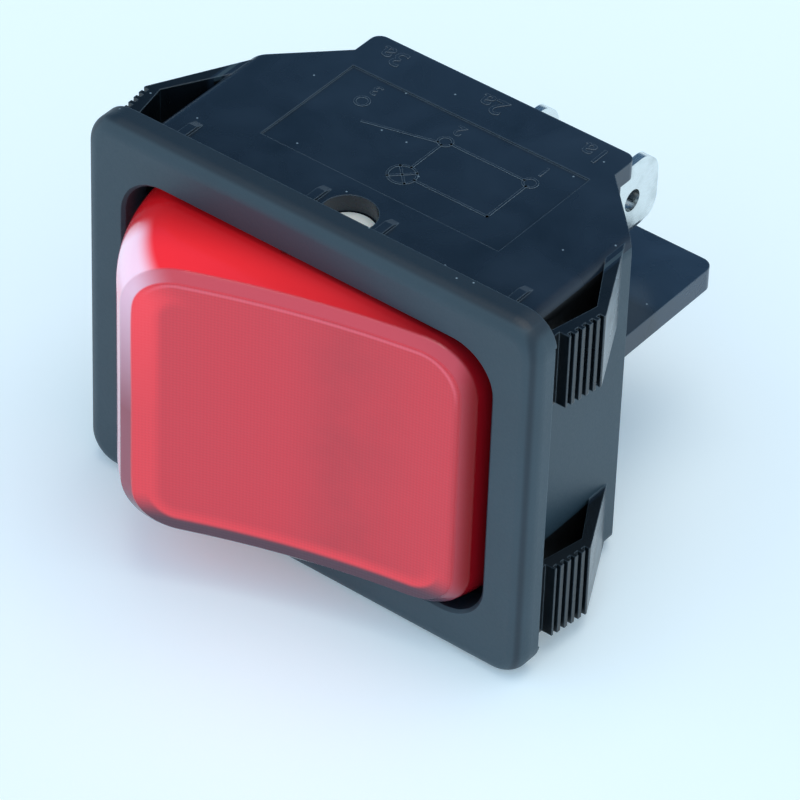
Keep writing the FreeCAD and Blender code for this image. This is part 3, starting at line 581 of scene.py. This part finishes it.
# metals: each is drawn, rolled or turned, so its scratches run one way; their size is in mm along X, Y and Z.
# The dark colour stands in stains
metals = {
    "tinPlate": {"nodes": ["terminal_1a", "terminal_2a", "terminal_2b"],
                 "colour": "#E3E6E4", "dark": "#B9BEBC", "roughness": 0.24, "scratch": (0.03, 2.5, 0.03)},
    "rolledBrass": {"nodes": ["contact_arm_a", "contact_arm_b"],
                    "colour": "#D9B56A", "dark": "#B18C45", "roughness": 0.3, "scratch": (2.5, 0.05, 0.05)},
    "turnedBrass": {"nodes": ["plunger_a", "plunger_b"],
                    "colour": "#DDBB70", "dark": "#B08C48", "roughness": 0.22, "scratch": (1.5, 0.05, 1.5)},
    "silverAlloy": {"nodes": ["fixed_contact_a", "moving_contact_a", "moving_contact_b"],
                    "colour": "#E9E9E6", "dark": "#C6C6C2", "roughness": 0.26, "scratch": (0.3, 0.3, 0.3)},
    "springSteel": {"nodes": ["plunger_spring_a", "plunger_spring_b"],
                    "colour": "#B9BBBD", "dark": "#8B8D90", "roughness": 0.25, "scratch": (1.0, 0.1, 1.0)},
    "nickelWire": {"nodes": ["neon_electrode_a", "neon_electrode_b", "resistor_lead"],
                   "colour": "#BDB8AE", "dark": "#8E8A82", "roughness": 0.35, "scratch": (1.0, 0.1, 0.1)},
}
metalFinish = {
    "stain": 1.6,               # mm, width of a stain
    "stained": (0.45, 0.8),     # values of its noise at which it begins and is full
    "roughnessPlay": (-0.1, 0.14),
    "scratchHeight": 0.005,     # mm
}


def makeMetal(name, s, shared):
    mat, place = newMaterial(name)
    grid = addNode(mat, "ShaderNodeMapping", {"Scale": [1 / v / mm for v in s["scratch"]]},
                   {"Vector": (place, "Object")})
    scratch = addNode(mat, "ShaderNodeTexNoise", {"Scale": 1.0, "Detail": 4.0, "Roughness": 0.6}, {"Vector": grid})
    stain = addNode(mat, "ShaderNodeTexNoise", {"Scale": 1 / (shared["stain"] * mm), "Detail": 3.0},
                    {"Vector": (place, "Object")})
    dull = ramp(mat, (stain, "Fac"), shared["stained"])
    colour = mixColour(mat, dull, s["colour"], s["dark"])
    rough = ramp(mat, (scratch, "Fac"), (0.0, 1.0), [s["roughness"] + v for v in shared["roughnessPlay"]])
    bump = addNode(mat, "ShaderNodeBump", {"Strength": 0.2, "Distance": shared["scratchHeight"] * mm},
                   {"Height": (scratch, "Fac")})
    return addSurface(mat, {"Metallic": 1.0}, {"Base Color": colour, "Roughness": rough, "Normal": bump})


for metalName, metal in metals.items():
    dress(metal["nodes"], makeMetal(metalName, metal, metalFinish))

# lamp and resistor: a clear drawn glass tube, and a lacquered body with colour rings
lampFinish = {"colour": "#F4F1EA", "roughness": (0.02, 0.06), "ripple": 1.2}     # ripple in mm
resistorFinish = {
    "colour": "#C9A56A",
    "rings": ["#5A3A1E", "#1E1E1E", "#C8A020"],
    "pitch": 0.7,               # mm
    "ringWidth": 0.3,           # mm
    "roughness": 0.3,
}


def makeGlass(s):
    mat, place = newMaterial("drawnGlass")
    ripple = addNode(mat, "ShaderNodeTexNoise", {"Scale": 1 / (s["ripple"] * mm)}, {"Vector": (place, "Object")})
    rough = ramp(mat, (ripple, "Fac"), (0.0, 1.0), s["roughness"])
    return addSurface(mat, {"Base Color": toLinear(s["colour"]), "IOR": 1.52, "Transmission Weight": 1.0},
                      {"Roughness": rough})


def makeResistorPaint(s):
    mat, place = newMaterial("resistorLacquer")
    axes = addNode(mat, "ShaderNodeSeparateXYZ", {}, {0: (place, "Object")})
    low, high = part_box("lamp_resistor")
    centre = (low.z + high.z) / 2
    colour = s["colour"]
    for i, ring in enumerate(s["rings"]):
        middle = centre + (i - 1) * s["pitch"] * mm
        onRing = compute(mat, "COMPARE", (axes, "Z"), middle, s["ringWidth"] / 2 * mm)
        colour = mixColour(mat, onRing, colour, ring)
    return addSurface(mat, {"Roughness": s["roughness"]}, {"Base Color": colour})


dress(["neon_lamp"], makeGlass(lampFinish))
dress(["lamp_resistor"], makeResistorPaint(resistorFinish))
print("inner pieces dressed")

# raised marks on both long sides: terminal marks near the rear edge, their tops towards the bezel, and
# a plain contact diagram in the sunk panel
marks = {
    "places": {"1": 7.2, "2": 0.0, "3": -7.2},      # mm along X
    "rows": {"a": 1, "b": -1},                      # upper and lower side
    "wall": 10.95,              # mm from the middle to the side that carries them
    "depth": 15.35,             # mm from the seat to the middle of the marks
    "size": 2.0,                # mm, the font's size; a digit is 0.7 of it
    "height": 0.07,             # mm, thickness of the sheet they are cut out of,
    "sunk": 0.03,               # of which this much lies in the wall
    "thicken": 0.012,           # mm, added round each stroke
    "edgeHighlightColour": "#9DB2BF",    # the marks' edges catch more light than the housing's
    "edgeHighlightShare": 0.9,
    "edgeRound": 0.05,          # mm
}
diagram = {
    "floor": 10.83,             # mm from the middle to the panel's floor
    "line": 0.16,               # mm wide
    "height": 0.06,             # mm, half of it under the floor
    "ring": 0.42,               # mm, radius of a terminal's ring
    "ringSteps": 24,            # sides of a ring
    "ringDepth": 10.9,          # mm from the seat to the row of rings
    "pitch": 6.0,               # mm between the rings
    "openArm": (1.2, 1.5),      # mm before the third ring and off the row, where the contact's line ends
    "lampDepth": 6.9,           # mm from the seat to the lamp's sign
    "lampRing": 0.85,           # mm, its radius
    "lampCross": 0.6,           # mm, half the size of its cross
    "digitSize": 1.3,           # mm, the font's size
    "digitDrop": 1.35,          # mm from the row to the middle of its digits
}


def addText(whole, body, size, height, thicken, matrix):
    # letters cut out of a thin sheet, placed by the matrix
    curve = bpy.data.curves.new("mark", "FONT")
    curve.body = body
    curve.size = size * mm
    curve.align_x, curve.align_y = "CENTER", "CENTER"
    curve.extrude = height / 2 * mm
    curve.offset = thicken * mm
    curve.resolution_u = 3      # steps along each curve of a letter
    text = bpy.data.objects.new("mark", curve)
    mesh = bpy.data.meshes.new_from_object(text)
    mesh.transform(matrix)
    whole.from_mesh(mesh)
    bpy.data.objects.remove(text)
    bpy.data.curves.remove(curve)
    bpy.data.meshes.remove(mesh)


def addRing(whole, radius, line, height, steps):
    # a square section turned once round
    square = ((-1, -1), (1, -1), (1, 1), (-1, 1))
    corners = [whole.verts.new((radius + x * line / 2, 0, z * height / 2)) for x, z in square]
    edges = [whole.edges.new((corners[i], corners[(i + 1) % 4])) for i in range(4)]
    bmesh.ops.spin(whole, geom=corners + edges, cent=(0, 0, 0), axis=(0, 0, 1), angle=math.tau, steps=steps,
                   use_merge=True)


def addBar(whole, start, end, line, height, matrix):
    # a low bar from start to end
    run = Vector(end) - Vector(start)
    made = bmesh.ops.create_cube(whole, size=1.0)["verts"]
    bmesh.ops.scale(whole, vec=(run.length + line, line, height), verts=made)
    turn = Matrix.Rotation(math.atan2(run.y, run.x), 4, "Z")
    middle = (Vector(start) + Vector(end)) / 2
    bmesh.ops.transform(whole, matrix=matrix @ Matrix.Translation((middle.x, middle.y, 0)) @ turn, verts=made)


def makeMarks(s, d):
    whole = bmesh.new()
    pitch, ring, line, height = d["pitch"], d["ring"], d["line"], d["height"]
    lampY, lampRing, cross = d["ringDepth"] - d["lampDepth"], d["lampRing"], d["lampCross"]
    leave = ring * 0.7          # where the contact's line leaves the middle ring
    rings = [(-pitch, 0, ring), (0, 0, ring), (pitch, 0, ring), (0, lampY, lampRing)]
    bars = [
        ((ring - pitch, 0), (-ring, 0)),
        ((leave, leave), (pitch - d["openArm"][0], d["openArm"][1])),
        ((0, ring), (0, lampY - lampRing)),
        ((-pitch, ring), (-pitch, lampY)),
        ((-pitch, lampY), (-lampRing, lampY)),
        ((-cross, lampY - cross), (cross, lampY + cross)),
        ((-cross, lampY + cross), (cross, lampY - cross)),
    ]
    for row, side in s["rows"].items():
        right, up, out = Vector((-side, 0, 0)), Vector((0, -1, 0)), Vector((0, 0, side))
        turn = Matrix((right, up, out)).transposed().to_4x4()
        lift = side * (s["wall"] + s["height"] / 2 - s["sunk"])
        for digit, x in s["places"].items():
            place = Matrix.Translation(Vector((x, s["depth"], lift)) * mm) @ turn
            addText(whole, digit + row, s["size"], s["height"], s["thicken"], place)
        # the diagram, drawn in mm round the middle of the row of rings
        middle = Vector((0, d["ringDepth"], side * d["floor"])) * mm
        base = Matrix.Translation(middle) @ turn @ Matrix.Scale(mm, 4)
        for start, end in bars:
            addBar(whole, (*start, 0), (*end, 0), line, height, base)
        for x, y, radius in rings:
            single = bmesh.new()
            addRing(single, radius, line, height, d["ringSteps"])
            bmesh.ops.transform(single, matrix=base @ Matrix.Translation((x, y, 0)), verts=single.verts)
            part = bpy.data.meshes.new("ring")
            single.to_mesh(part)
            single.free()
            whole.from_mesh(part)
            bpy.data.meshes.remove(part)
        for digit, x in zip("123", (-pitch, 0, pitch)):
            place = base @ Matrix.Translation((x, -d["digitDrop"], 0)) @ Matrix.Scale(1 / mm, 4)
            addText(whole, digit, d["digitSize"], height, s["thicken"], place)
    bmesh.ops.remove_doubles(whole, verts=whole.verts, dist=1e-7)
    bmesh.ops.recalc_face_normals(whole, faces=whole.faces)
    obj = linkObject("terminal_marks", whole)
    finish = {**housingFinish, **{key: s[key] for key in ("edgeHighlightColour", "edgeHighlightShare", "edgeRound")}}
    obj.data.materials.append(makeNylon(finish))
    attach(obj, "switch_body")


makeMarks(marks, diagram)
print("marks made")
